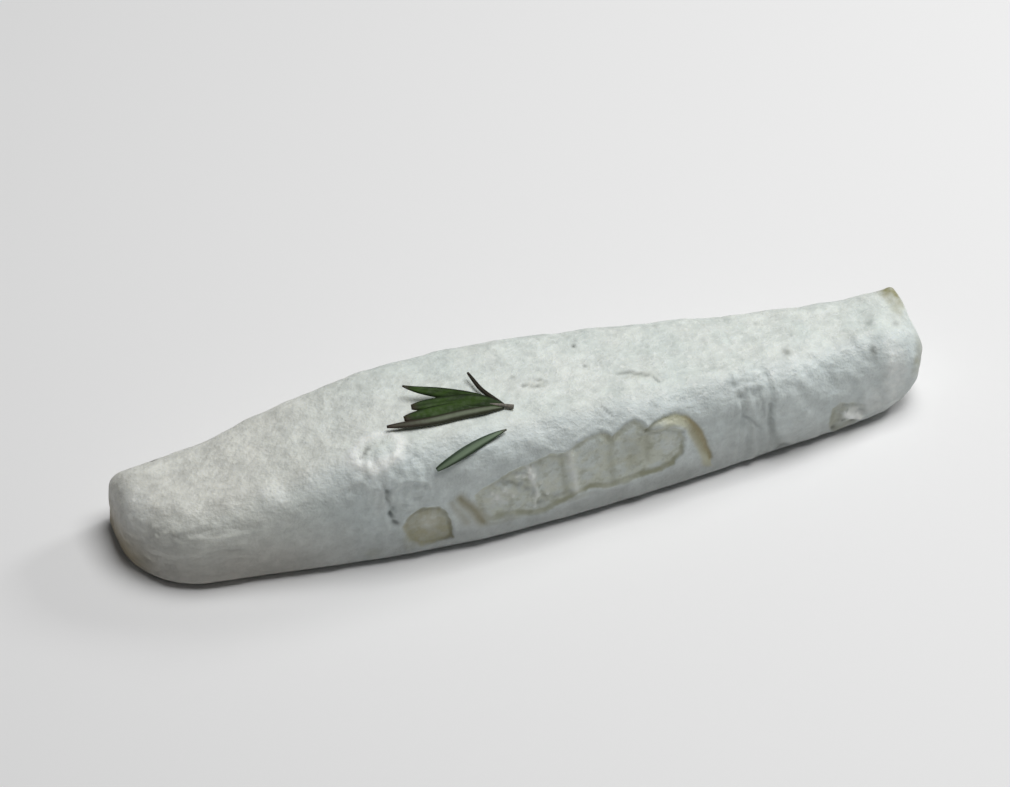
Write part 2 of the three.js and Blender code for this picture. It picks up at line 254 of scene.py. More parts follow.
# The discoloured rim of the imprint: where it starts, its strength above a height and below it, and what is
# added further right; how the cell's rim starts; and the distance that stands for far from both
STRIP_RIM = dict(starts=(-27, -19), upper_from=20, upper=0.6, lower=0.95, more=0.35, more_from=(-4, 4))
CELL_RIM = dict(slant=0.5, starts=(-44, -34))
FAR_AWAY = 6

# Ribs and seams between the lobes of the imprint, as points of X, Z and half width
RIBS = [
    [(4.2, 30.8, 1.2), (5.4, 22, 1.6), (6.8, 13.5, 1.3)],
    [(-10.2, 29.8, 0.9), (-8.4, 24.5, 1.2), (-7.2, 18, 0.8), (-7.6, 11.6, 0.6)],
]
RIB_HIGH = 0.6
SEAMS = [
    [(18.6, 32, 1.6), (18.8, 22, 1.3), (19.6, 12.4, 1.5)],
    [(30.8, 30.8, 1.6), (31.6, 22.4, 1.4), (32, 17.6, 1.0)],
    [(1.6, 31, 1.2), (2.2, 22, 1.0), (3.4, 13.6, 1.1)],
]
SEAM_DEEP = 0.12

# Grooves of the front wall, as points of X, Z and half width
HOOK = [
    (30.8, 30.6, 0.6), (34.3, 32, 0.8), (37.5, 32.6, 0.9), (41.4, 32.5, 1.1), (45, 30.8, 1.5),
    (47.8, 27.2, 2.1), (50.6, 21.8, 2.6), (52.8, 15.4, 2.2), (54.2, 9.6, 0.7),
]
HOOK_BAND = dict(sharp=0.65, inner=4.2, starts=(33, 40), rust_from=(42, 48))
BAR = [(-32.4, 22.6, 1.8), (-29.6, 18.4, 2.2), (-27, 13.9, 2.3), (-25.2, 10.6, 1.7)]
BAR_SIDE = [(-35.2, 21.2, 1.3), (-32.8, 16.8, 1.8), (-30.4, 11.8, 1.6)]
CRACK = [
    (-57, 34, 0.6), (-55.7, 31, 1.0), (-56.4, 28.6, 0.6), (-54.8, 26, 1.2), (-55.2, 22, 0.6),
    (-53.8, 17.6, 1.2),
]
PLEAT = [(65, 32.4, 0.7), (65.2, 27.6, 0.7), (66.2, 23, 0.8), (68.8, 20.4, 0.9), (71.8, 16.4, 0.8)]
PLEAT_BESIDE = [(71.6, 31, 0.5), (72.6, 26.4, 0.6), (73.6, 21, 0.4)]
STEP_SHADE = [(75.2, 25, 0.5), (75.7, 18, 0.8), (76.8, 11.6, 1.3), (78.6, 7, 1.8), (81, 4.6, 2)]
END_CREASE = [(-126.5, 19.6, 0.5), (-123, 21.2, 0.7), (-120, 20, 0.8), (-116.5, 20.6, 0.5)]
BLOTCH = [(-18.6, 25.4, 0.9), (-15.6, 24.2, 1.3), (-12.6, 22.8, 1.9), (-9.8, 20.4, 1.5), (-8.2, 17.4, 0.9)]
LOW_BLOTCH = [(-6.4, 12.6, 1.3), (-4.4, 14.8, 1.7), (-2.2, 13.4, 1.1), (1.4, 14, 1.3), (4.4, 13.6, 1.0)]

# Each groove's path, depth, how dark it is, and whether it is broken up; the darkness of the pleats and of
# the step by the fold is painted shade in those creases
GROOVES = [
    (HOOK, 0.8, 0, False), (BAR, 0.7, 0, False), (CRACK, 1.2, 0.45, True), (PLEAT, 0.8, 0.2, False),
    (PLEAT_BESIDE, 0.6, 0.2, False), (STEP_SHADE, 0.5, 0.36, False), (END_CREASE, 0.3, 0.3, True),
    (BLOTCH, 0.3, 0.42, True), (LOW_BLOTCH, 0.3, 0.42, True),
]

# Raised flecks of the front wall: X, Z and radius
FLECKS = [
    (-9.6, 28.2, 0.7), (-11.2, 25.6, 0.9), (-8.2, 24.8, 0.8), (-13.6, 26.4, 0.7), (-5.8, 21, 0.6),
    (-18, 22, 0.8), (-20.6, 19.4, 0.7), (-15.2, 18.6, 0.6), (-6.2, 16.2, 0.7), (-3.4, 15.6, 0.6),
    (-22.4, 21.6, 0.6),
]
FLECK_HIGH = 0.7

# Rings of the skin: centre X and Z or Y, radii, half width and height, and on the top how pale they are
WALL_RINGS = [
    (-48.4, 28.8, 6.2, 5.6, 0.9, 0.45), (-47, 28, 3.2, 2.8, 0.7, 0.35), (-59.4, 29, 2.6, 5.2, 1.1, 0.4),
]
TOP_RINGS = [
    (-55.7, -12.3, 7.8, 5.4, 1.8, 0.45, 1.5), (66.4, 4.4, 4.4, 6.4, 1.4, 0.22, 0.3),
    (28, 8, 6, 4.2, 1.1, 0.15, 0.2),
]

# Marks of the top: lines as points of X, Y and half width, and dots as X, Y, radius and strength
TOP_LINES = [
    [(-3.4, -1.5, 0.5), (0, -2.4, 0.6), (3, -3.4, 0.5)],
    [(-0.8, 0.8, 0.4), (1.8, 0.2, 0.5), (4.2, -1.0, 0.6)],
    [(26.6, -3.6, 0.4), (32.2, -4.2, 0.8), (35.6, -5.9, 0.7), (38.9, -7.6, 0.6), (39.4, -10, 0.4)],
    [(17.4, -16, 0.4), (20.2, -19.2, 0.4)],
    [(-61.4, -13.8, 0.5), (-58.6, -11.4, 0.4), (-55.6, -10.6, 0.3)],
]
TOP_DOTS = [
    (18.8, 12.6, 0.7, 1.0), (18.9, 2.6, 0.7, 0.9), (-4.9, 4, 0.8, 0.4), (-10.1, 9.5, 0.8, 0.3),
    (47.8, 14.7, 0.8, 0.4), (81, 8.3, 0.9, 0.4), (85.2, -7.6, 1.5, 0.7), (89.8, -0.4, 1.2, 0.3),
    (114.4, -11.9, 1.7, 0.8), (117, -2.1, 1.3, 0.5), (125.9, -4.2, 1.3, 0.5), (-120.5, 22.3, 1.0, 0.9),
    (-53.4, -11, 0.7, 0.3), (20.2, 14.8, 0.7, 0.4),
]
TOP_DEPTH = dict(line=0.35, dot=0.4)
TOP_DARK = dict(line=0.55, dot=0.95)

# The fold in the right half: past it the wall stands out, and its foot is drawn in
FOLD = dict(x=76, soft=0.7, out=1.3, fade=20, foot_at=81, foot=3.4, foot_high=10, foot_wide=7)

# The torn patch: its outline in X and Z, the flap and the dark spots in it, its depth and the flap's height
TORN_OUTLINE = [
    (98.3, 14.6), (100.6, 16.4), (103.6, 15), (107, 13.4), (111.4, 10.4), (110.8, 6.2), (107, 2.4),
    (102.6, 2.2), (99, 3.6), (97.4, 8.6),
]
TORN_FLAP = [(102.8, 10.8, 0.6), (105.4, 7.6, 0.9), (109, 5.6, 0.8)]
TORN_SPOTS = [(107, 5.4, 1.3), (99.7, 5.2, 1.2), (103.4, 6.6, 0.6), (104.2, 11, 0.5)]
TORN = dict(depth=0.6, uneven=0.5, flap=1.1)

# The rim before the right end, the skin's swellings as place, radii and height, and its slow unevenness
RIM = dict(x=120.8, wide=2.4, out=0.7, lean=0.1)
SWELLINGS = [
    ((-91, -13, 31), (5, 5, 4), 0.8), ((-57, -14, 40), (9, 9, 9), 0.4), ((98, -14, 26), (14, 14, 14), 0.4),
    ((88, -20, 15), (10, 8, 8), 1.3), ((131, -10, 21), (9, 9, 9), 1.4), ((134, -1, 31), (9, 9, 9), -2),
    ((128, 16, 33), (9, 9, 9), -0.6), ((20, 6, 41), (15, 15, 15), 0.5),
]
UNEVEN = dict(waves=(47, 33, 24, 17), high=0.2, turn=2.4)

# Lumps of the skin: their size and height
LUMPS = ((15, 0.26), (7, 0.24), (3.4, 0.15))

# How much flatter the lumps are in the imprint, and over what length wrinkles fade at both ends
LUMPS_LESS = 0.6
WRINKLE_FADE = 5

# How rough marks are broken up: their usual strength, how much it varies, in patches of what size, the most
BROKEN = dict(usual=0.65, varies=0.9, size=2.4, seed=56, most=1.2)

# How the outlines of marks waver along X, Y and Z: height, size and seed of two noises
WAVER = (((0.5, 5, 1), (0.15, 2.2, 2)), ((0.4, 4, 5), (0.3, 1.8, 6)), ((0.4, 5, 3), (0.15, 2.2, 4)))

# Wrinkled places: from and to along X, the way the wrinkles run, the squeeze along it, size and height
WRINKLES = [
    ((-140, -92), (1, 0, 0), 0.25, 2.6, 0.46),
    ((-74, -40), (0.2, 0, 0.98), 0.5, 2.4, 0.5),
    ((60, 77), (0, 0, 1), 0.22, 2.2, 1.0),
    ((79, 121), (0.55, 0, -0.83), 0.35, 4.0, 0.7),
]

# Round patches, as discoloured marks, painted light and painted shade: place, radii and strength, and
# between which parts of the radii they fade
PATCH_FADE = (0.45, 1.25)
OLIVE_STAINS = [
    ((26, -22, 22), (5.5, 9, 8), 0.42), ((131.5, 11.5, 31), (5.5, 6, 6), 1.4),
    ((129.5, 3, 32), (3, 4, 2.6), 0.7),
    ((132.5, -10, 20), (4, 6, 10), 0.5), ((130.4, -12.6, 19.6), (3, 3.5, 5), 0.7),
    ((131, 6, 31.5), (4.5, 4, 3.5), 0.9), ((-61.2, -23, 5.6), (3.4, 4, 2.6), 0.2),
    ((1, -2, 41), (3.4, 1.6, 3), 0.3),
    ((35, -6.5, 39), (6, 1.8, 3), 0.22), ((-16, -26, 9.4), (9, 5, 1.6), 0.35),
    ((4, -26, 11), (8, 5, 1.4), 0.3),
    ((-49.4, -24, 9), (2.6, 5, 5), 0.45), ((-42, -25, 7), (6, 5, 2), 0.35),
]
# Pale marks of the skin; the patches low on the right end, on the torn flap and on the left end are painted
# light
PALE_STAINS_AND_PAINTED_LIGHT = [
    ((-8.4, -25, 26), (1.8, 5, 3.2), 0.9), ((-19, -25, 19), (5.5, 5, 3.6), 0.7),
    ((39.4, -22, 21), (3, 5, 4.5), 0.4),
    ((-43, -25, 15.6), (3.4, 5, 3.4), 0.55), ((-1.6, -25, 20), (3.6, 5, 6), 0.3),
    ((-91, -13, 31), (6, 6, 4), 0.6),
    ((-58.6, -22, 28), (2.2, 6, 6), 0.35), ((121.5, -14, 20), (5, 8, 15), 1.0),
    ((-68, -15, 37), (20, 9, 7), 0.4),
    ((116, -16, 11), (7, 6, 6), 0.6), ((8, 4, 42), (30, 14, 6), 0.3), ((-56, 4, 40), (24, 14, 7), 0.3),
    ((106, -17, 9.4), (3.4, 5, 2.4), 1.2), ((108.8, -16, 6.6), (2.6, 5, 2.2), 1.6),
    ((-130.5, 6, 22), (6, 9, 7), 0.9), ((90, -7, 34), (14, 6, 5), 0.4),
]
# Painted shade: darker patches on the shoulder, low on the front wall and by the fold, besides a dark
# smudge at the right end
SHADES = [
    ((6, -19, 37), (26, 7, 6), 0.09), ((66, -20, 24), (9, 8, 12), 0.12), ((34, -25, 6), (34, 7, 5), 0.16),
    ((-97, -16, 7), (26, 8, 6), 0.08), ((132.2, -9.8, 21.5), (3.5, 4.5, 7), 0.16),
    ((58, -18, 31), (9, 6, 5), 0.08),
]
# Brown discolouring and painted shade: the low part of the left end, on faces turned to the left, is made
# darker and browner
END_STAIN_AND_SHADE = dict(facing=(0.65, 1.0), low=(17, 4))

# Where the skin's tone or finish changes, or shade is painted on: places along X or Z, or how far it faces
# the front
# Painted shade: the skin grows darker toward the foot, higher up and most strongly at the left
FOOT_SHADE = dict(high=20, more=12, more_from=(40, 90), least=0.75, full_from=(60, 100), waver=(3, 14))
WARM = dict(left_of=(30, 105), waver=(14, 30), less=0.35, front=(0.2, 0.7))
# Painted shade: a bluish tint on faces turned to the front, fading out toward the left end
COOL_SHADE = dict(front=(0.05, 0.6), waver=(0.15, 20), right_of=(-100, -60))
DROPLETS = dict(right_of=(-30, 0), above=(20, 30))
WEAVE = dict(left_of=(-40, -10), patches=(-0.4, 0.5), patch_size=14, apart=3.2, drift=9, drift_size=6)


def path_distance(x, z, path):
    """Signed distance of places to a path, above zero on its left, and its half width there."""
    nearest, width = np.full(len(x), np.inf), np.ones(len(x))
    for (ax, az, aw), (bx, bz, bw) in zip(path, path[1:]):
        length = (bx - ax) ** 2 + (bz - az) ** 2
        t = np.clip(((x - ax) * (bx - ax) + (z - az) * (bz - az)) / length, 0, 1)
        far = np.hypot(x - ax - t * (bx - ax), z - az - t * (bz - az))
        closer = far < np.abs(nearest)
        left = (bx - ax) * (z - az) > (bz - az) * (x - ax)
        nearest = np.where(closer, np.where(left, far, -far), nearest)
        width = np.where(closer, aw + (bw - aw) * t, width)
    return nearest, width


def along_path(x, z, path):
    """1 on a path's middle line, falling to 0 past its half width."""
    far, width = path_distance(x, z, path)
    return bump(far, width)


def outline_distance(x, z, outline):
    """Signed distance of places to a closed outline, below zero inside it."""
    far = np.full(len(x), np.inf)
    crossings = np.zeros(len(x), int)
    for (ax, az), (bx, bz) in zip(outline, outline[1:] + outline[:1]):
        length = (bx - ax) ** 2 + (bz - az) ** 2
        t = np.clip(((x - ax) * (bx - ax) + (z - az) * (bz - az)) / length, 0, 1)
        far = np.minimum(far, np.hypot(x - ax - t * (bx - ax), z - az - t * (bz - az)))
        spans = (az > z) != (bz > z)
        rise = bz - az if bz != az else 1e-9
        crossings += spans & (x < ax + (z - az) * (bx - ax) / rise)
    return np.where(crossings % 2 == 1, -far, far)


def ring(a, b, middle_a, middle_b, radius_a, radius_b, wide):
    """1 on an oval line, falling to 0 past its half width."""
    far = np.hypot((a - middle_a) / radius_a, (b - middle_b) / radius_b) - 1
    return bump(far * (radius_a + radius_b) / 2, wide)


def round_patches(p, places):
    """Strength of the strongest of some soft round patches: discoloured marks, painted light and painted
    shade alike.
    """
    found = np.zeros(len(p))
    for at, radii, strength in places:
        far = np.linalg.norm((p - np.array(at)) / np.array(radii), axis=1)
        found = np.maximum(found, strength * (1 - ramp(far, *PATCH_FADE)))
    return found


def strongest(a, b, paths):
    """1 on the middle line of any of the paths, falling to 0 past its half width."""
    return np.maximum.reduce([along_path(a, b, path) for path in paths])


def spots(a, b, places):
    """1 in the middle of any of some round spots, falling to 0 past its radius."""
    return np.maximum.reduce([bump(np.hypot(a - at_a, b - at_b), radius) for at_a, at_b, radius in places])


def breaks(p):
    """How much of a broken mark shows, from nothing to more than all of it."""
    strength = BROKEN["usual"] + BROKEN["varies"] * noise(p, BROKEN["size"], BROKEN["seed"])
    return np.clip(strength, 0, BROKEN["most"])


def wavering(p):
    """Places along X, Y and Z, moved a little so that the outlines of marks waver."""
    moved = p.copy()
    for axis, noises in enumerate(WAVER):
        for high, size, seed in noises:
            moved[:, axis] += high * noise(p, size, seed)
    return moved.T


def unevenness(p):
    """Slow unevenness of the whole skin, as the solids have it."""
    x, y, z = p.T
    out = np.zeros(len(p))
    for i, wave in enumerate(UNEVEN["waves"]):
        a = i * UNEVEN["turn"]
        along = x * math.cos(a) + y * math.sin(a) + z * math.sin(a + 1)
        across = y * math.cos(a) - x * math.sin(a) + z * math.cos(a + 1)
        turns = 2 * math.pi / wave
        out += UNEVEN["high"] * np.sin(along * turns + i) * np.cos(across * turns * 0.7 + 2 * i)
    return out


def wall_marks(x, z, p, strip, cell):
    """Height of the marks of the front wall."""
    nearest = np.minimum(strip, cell)
    sunk = 1 - ramp(nearest, -IMPRINT["soft"], IMPRINT["soft"])
    out = (RIB_HIGH * strongest(x, z, RIBS) - SEAM_DEEP * strongest(x, z, SEAMS) - IMPRINT["depth"]) * sunk
    out += IMPRINT["lip"] * bump(nearest - IMPRINT["lip_at"], IMPRINT["lip_wide"])
    out -= IMPRINT["groove"] * bump(nearest + IMPRINT["groove_wide"] / 2, IMPRINT["groove_wide"])
    broken = breaks(p)
    for path, depth, _, rough in GROOVES:
        out -= depth * along_path(x, z, path) * (broken if rough else 1)
    for middle_x, middle_z, radius_x, radius_z, wide, high in WALL_RINGS:
        out += high * ring(x, z, middle_x, middle_z, radius_x, radius_z, wide)
    stand = ramp(x, FOLD["x"] - FOLD["soft"], FOLD["x"] + FOLD["soft"])
    out += FOLD["out"] * stand * bump(x - FOLD["x"], FOLD["fade"])
    out -= FOLD["foot"] * bump(x - FOLD["foot_at"], FOLD["foot_wide"]) * (1 - ramp(z, 0, FOLD["foot_high"]))
    torn = outline_distance(x, z, TORN_OUTLINE)
    out -= (1 - ramp(torn, -0.8, 0.4)) * (TORN["depth"] + TORN["uneven"] * noise(p, 2.4, 40))
    out += FLECK_HIGH * spots(x, z, FLECKS)
    return out + TORN["flap"] * along_path(x, z, TORN_FLAP)


def cheese_relief(p, n):
    """Height of every mark over the smooth body, and the masks that colour them."""
    x, y, z = p.T
    wx, wy, wz = wavering(p)
    front = ramp(-n[:, 1], 0.35, 0.8)
    facing_front = ramp(-n[:, 1], -0.2, 0.4)
    top = ramp(n[:, 2], 0.5, 0.85)
    upward = ramp(n[:, 2], 0.2, 0.5)
    strip = outline_distance(wx, wz, STRIP_OUTLINE)
    cell = outline_distance(wx, wz, CELL_OUTLINE)
    sunk = front * (1 - ramp(np.minimum(strip, cell), -0.7, 0.7))

    out = unevenness(p) + front * wall_marks(wx, wz, p, strip, cell)
    top_line = strongest(wx, wy, TOP_LINES)
    dots = np.maximum.reduce([strength * bump(np.hypot(x - a, y - b), r) for a, b, r, strength in TOP_DOTS])
    rings = np.zeros(len(p))
    for middle_x, middle_y, radius_x, radius_y, wide, high, pale in TOP_RINGS:
        on_ring = ring(wx, wy, middle_x, middle_y, radius_x, radius_y, wide)
        rings = np.maximum(rings, pale * on_ring)
        out += high * upward * on_ring
    out -= TOP_DEPTH["line"] * top * top_line + TOP_DEPTH["dot"] * upward * dots
    out += RIM["out"] * bump(wx - RIM["x"] - y * RIM["lean"], RIM["wide"]) * facing_front
    for at, radii, high in SWELLINGS:
        out += high * bump(np.linalg.norm((p - np.array(at)) / np.array(radii), axis=1), 1)

    for i, (size, high) in enumerate(LUMPS):
        out += high * noise(p, size, 10 + i) * (1 - LUMPS_LESS * sunk)
    for i, ((start, end), run, squeeze, size, high) in enumerate(WRINKLES):
        there = ramp(x, start, start + WRINKLE_FADE) * (1 - ramp(x, end - WRINKLE_FADE, end))
        there = there * facing_front * (1 - sunk)
        along = p @ np.array(run, float)
        squeezed = p - np.outer(along * (1 - squeeze), run)
        out += high * there * noise(squeezed, size, 20 + i)
    above_foot = ramp(z, 0, FOOT_ROUND["middle"]) * ramp(n[:, 2], -0.95, -0.5)

    hook_far, hook_wide = path_distance(wx, wz, HOOK)
    hook = np.where(hook_far > 0, bump(hook_far, HOOK_BAND["sharp"]), bump(hook_far, hook_wide))
    within = 1 - ramp(-hook_far, HOOK_BAND["inner"] / 2, HOOK_BAND["inner"])
    band = (hook_far < 0) * within * ramp(wx, *HOOK_BAND["starts"])
    rust = hook * ramp(wx, *HOOK_BAND["rust_from"])
    # The low part of the left end, for its brown discolouring and painted shade
    end_low = 1 - ramp(z, END_STAIN_AND_SHADE["low"][1], END_STAIN_AND_SHADE["low"][0])
    torn = 1 - ramp(outline_distance(wx, wz, TORN_OUTLINE), -0.6, 0.5)
    flap = along_path(wx, wz, TORN_FLAP)
    mottled = 0.75 + 0.5 * noise(p, 2.6, 50)
    torn_olive = front * 0.5 * torn * (1 - flap) * np.clip(mottled + 0.06 * (104 - wx), 0, 1.4)
    # The torn flap is painted paler than the skin as its highlight; ribs and flecks are pale marks
    pale_marks = 1.2 * flap + 0.8 * strongest(wx, wz, RIBS) * sunk + 1.4 * spots(wx, wz, FLECKS)
    # Pale marks, with painted light at both ends and on the torn flap
    pale = round_patches(p, PALE_STAINS_AND_PAINTED_LIGHT) * (0.8 + 0.5 * noise(p, 1.8, 51))
    pale = pale + 1.1 * upward * rings + front * pale_marks
    broken = breaks(p)
    # Dark marks of the top, painted shade patches, torn spots and dark grooves
    dark = [top * TOP_DARK["line"] * top_line, upward * TOP_DARK["dot"] * dots, round_patches(p, SHADES)]
    dark.append(front * 0.8 * spots(wx, wz, TORN_SPOTS) * torn)
    # Dark grooves: along the pleats and the step the darkness is painted shade in the creases
    for path, _, darkness, rough in GROOVES:
        dark.append(front * darkness * (broken if rough else 1) * along_path(wx, wz, path))
    lower_rim = STRIP_RIM["lower"] + STRIP_RIM["more"] * ramp(wx, *STRIP_RIM["more_from"])
    rim_here = np.where(wz > STRIP_RIM["upper_from"], STRIP_RIM["upper"], lower_rim)
    # Painted shade toward the foot, higher up and stronger at the left
    foot_high, foot_size = FOOT_SHADE["waver"]
    foot_shade_to = FOOT_SHADE["high"] + FOOT_SHADE["more"] * ramp(-x, *FOOT_SHADE["more_from"])
    foot = 1 - ramp(z + foot_high * noise(p, foot_size, 52), 1, foot_shade_to)
    foot_shade_part = FOOT_SHADE["least"] + (1 - FOOT_SHADE["least"]) * ramp(-x, *FOOT_SHADE["full_from"])
    warm_far, warm_size = WARM["waver"]
    warm = ramp(-x + warm_far * noise(p, warm_size, 53), *WARM["left_of"])
    # Painted shade: a bluish tint on faces turned to the front
    cool_far, cool_size = COOL_SHADE["waver"]
    cool_shade = ramp(-n[:, 1] + cool_far * noise(p, cool_size, 54), *COOL_SHADE["front"])
    woven = ramp(noise(p, WEAVE["patch_size"], 55), *WEAVE["patches"])
    masks = dict(
        strip_far=FAR_AWAY - (FAR_AWAY - np.clip(strip, -FAR_AWAY, FAR_AWAY)) * front,
        strip_rim=ramp(wx, *STRIP_RIM["starts"]) * rim_here,
        cell_rim=ramp(wx + CELL_RIM["slant"] * wz, *CELL_RIM["starts"]),
        cell_far=FAR_AWAY - (FAR_AWAY - np.clip(cell, -FAR_AWAY, FAR_AWAY)) * front,
        bar=front * np.maximum(along_path(wx, wz, BAR), 0.5 * along_path(wx, wz, BAR_SIDE)),
        hook=front * hook,
        rust=front * rust,
        straw=front * band,
        seam=front * sunk * strongest(wx, wz, SEAMS),
        olive=np.maximum(round_patches(p, OLIVE_STAINS) * mottled, torn_olive),
        # pale marks and painted light
        pale=np.clip(pale, 0, 1.6),
        # dark marks and painted shade
        dark=np.maximum.reduce(dark),
        # brown discolouring and painted shade, low on the left end
        end_stain_and_shade=ramp(-n[:, 0], *END_STAIN_AND_SHADE["facing"]) * end_low,
        # painted shade toward the foot
        foot=foot * foot_shade_part,
        warm=np.clip(warm - WARM["less"] * ramp(-n[:, 1], *WARM["front"]), 0, 1),
        # painted bluish shade on faces turned to the front
        cool_shade=cool_shade * ramp(x, *COOL_SHADE["right_of"]),
        droplets=top * ramp(x, *DROPLETS["right_of"]) * ramp(z, *DROPLETS["above"]),
        weave=top * (1 - ramp(x, *WEAVE["left_of"])) * woven,
    )
    return out * above_foot, masks


def new_mesh(name, points_mm, faces):
    """A smooth-shaded mesh object in the part's frame, in metres."""
    mesh = bpy.data.meshes.new(name)
    points = (np.asarray(points_mm) + SHIFT) * MM
    mesh.from_pydata(points.tolist(), [], faces)
    mesh.polygons.foreach_set("use_smooth", [True] * len(mesh.polygons))
    mesh.update()
    made = bpy.data.objects.new(name, mesh)
    bpy.context.scene.collection.objects.link(made)
    return made


def give_values(piece, name, values):
    """Stores one number for each point, for the material to read."""
    attribute = piece.data.attributes.new(name, "FLOAT", "POINT")
    attribute.data.foreach_set("value", np.asarray(values, dtype=np.float32))


def linear(red, green, blue):
    """A colour given in the usual 0 to 255 steps, as Blender's shaders want it."""
    def one(value):
        value /= 255
        return value / 12.92 if value <= 0.04045 else ((value + 0.055) / 1.055) ** 2.4
    return (one(red), one(green), one(blue), 1.0)


class Tree:
    """A short way to write a material's nodes."""

    def __init__(self, name):
        self.material = bpy.data.materials.new(name)
        self.material.use_nodes = True
        self.nodes = self.material.node_tree.nodes
        self.shader = self.nodes["Principled BSDF"]

    def add(self, kind, inputs=(), **settings):
        node = self.nodes.new(kind)
        for key, value in settings.items():
            setattr(node, key, value)
        for key, value in dict(inputs).items():
            self.put(node.inputs[key], value)
        return node

    def put(self, socket, value):
        if isinstance(value, bpy.types.NodeSocket):
            self.material.node_tree.links.new(value, socket)
        else:
            socket.default_value = value

    def value(self, name):
        return self.add("ShaderNodeAttribute", attribute_name=name).outputs["Fac"]

    def place(self):
        return self.add("ShaderNodeTexCoord").outputs["Object"]

    def cloud(self, size_mm, detail=3, roughness=0.55, stretch=None):
        place = self.place()
        if stretch:
            place = self.add("ShaderNodeMapping", {"Vector": place, "Scale": stretch}).outputs[0]
        inputs = {"Vector": place, "Scale": 1000 / size_mm, "Detail": detail, "Roughness": roughness}
        return self.add("ShaderNodeTexNoise", inputs).outputs["Fac"]

    def maths(self, operation, a, b=0.0, c=0.0):
        node = self.add("ShaderNodeMath", operation=operation)
        for socket, value in zip(node.inputs, (a, b, c)):
            self.put(socket, value)
        return node.outputs[0]

    def times(self, a, b):
        return self.maths("MULTIPLY", a, b)

    def span(self, value, low, high, to_low=0.0, to_high=1.0):
        inputs = {"Value": value, "From Min": low, "From Max": high, "To Min": to_low, "To Max": to_high}
        return self.add("ShaderNodeMapRange", inputs, interpolation_type="SMOOTHSTEP").outputs["Result"]

    def mix(self, factor, a, b, blend="MIX"):
        node = self.add("ShaderNodeMix", data_type="RGBA", blend_type=blend)
        for socket, value in zip((node.inputs[0], node.inputs[6], node.inputs[7]), (factor, a, b)):
            self.put(socket, value)
        return node.outputs[2]

    def bump(self, height, distance_mm, strength=1.0, normal=None):
        inputs = {"Height": height, "Distance": distance_mm * MM, "Strength": strength}
        if normal:
            inputs["Normal"] = normal
        return self.add("ShaderNodeBump", inputs).outputs["Normal"]


def weave_height(tree):
    """Faint dimples left by a cloth, two waves across each other."""
    place = tree.add("ShaderNodeSeparateXYZ", {"Vector": tree.place()})
    waves = []
    for axis in ("X", "Y"):
        drift = tree.times(tree.cloud(WEAVE["drift_size"], 3), WEAVE["drift"])
        turns = tree.maths("MULTIPLY_ADD", place.outputs[axis], 2 * math.pi / (WEAVE["apart"] * MM), drift)
        waves.append(tree.maths("SINE", turns))
    return tree.times(waves[0], waves[1])


# Colours of the curd, of the marks that masks colour, and what the foot and the left end are multiplied by:
# the darker foot and the bluish tint of faces turned to the front are painted shade, the left end's brown
# is discolouring and painted shade
CURD = {name: linear(*colour) for name, colour in dict(
    grey=(211, 219, 214), white=(220, 225, 219), warm=(229, 229, 221), cool_shade=(208, 217, 217),
    speck=(240, 243, 239),
    imprint=(206, 210, 195), imprint_patch=(160, 163, 144), cell=(170, 166, 134), rim=(156, 157, 134),
    cell_rim=(118, 114, 82), straw=(192, 190, 156), bar=(146, 138, 104), hook=(146, 146, 118),
    rust=(158, 144, 104),
    olive=(140, 136, 94), pale=(240, 243, 239), dark=(70, 72, 62), end_stain_and_shade=(212, 200, 172),
).items()}
# What the foot is multiplied by, as painted shade
FOOT_SHADE_COLOUR = (0.60, 0.57, 0.56, 1)
SUBSURFACE = {"Subsurface Weight": 0.12, "Subsurface Radius": (1.0, 0.9, 0.7), "Subsurface Scale": 0.002}
MARK_STRENGTHS = dict(straw=0.65, bar=0.8, hook=0.75, rust=0.7, olive=0.75, pale=0.6, dark=0.9)


